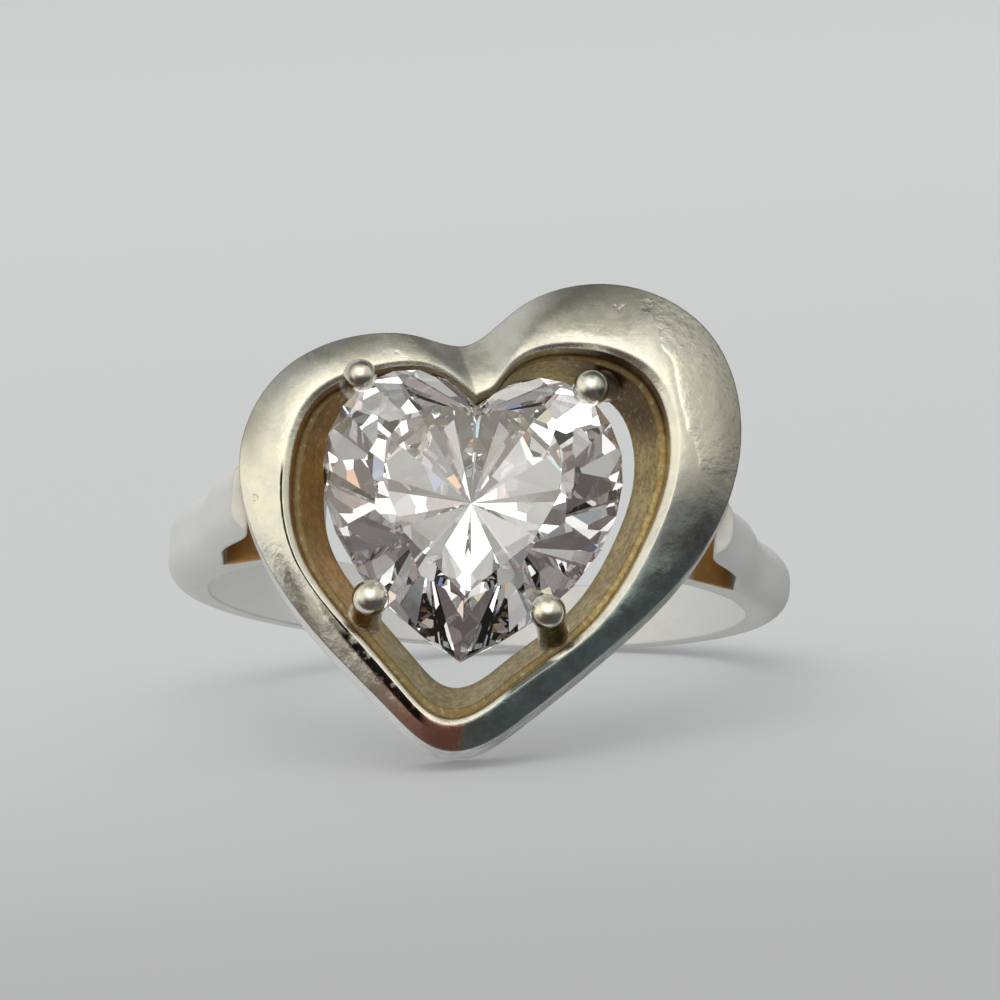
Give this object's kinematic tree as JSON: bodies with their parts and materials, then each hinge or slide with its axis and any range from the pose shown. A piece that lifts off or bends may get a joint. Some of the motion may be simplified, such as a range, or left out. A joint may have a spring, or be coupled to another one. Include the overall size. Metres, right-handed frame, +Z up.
{
  "type": "heart ring",
  "caption": "Silver finger ring with a domed, lopsided heart frame round a heart-cut clear stone held by ball-tipped prongs, lying on its side.",
  "frame": {"origin": "centre of the ring's bounding box at the surface it lies on", "axes": "the ring lies on its side, on the heart's tip and the palm's edge: +Z up, -Y the way the heart faces, +X the right of the heart seen from its front; the finger goes through roughly along +Z"},
  "size_m": [0.02, 0.0248, 0.0139],
  "materials": {
    "silver": "polished, scratched and worn",
    "clear_stone": "polished facets"
  },
  "bodies": {
    "root": {"silver_ring": "silver", "heart_stone": "clear_stone"}
  },
  "joints": []
}
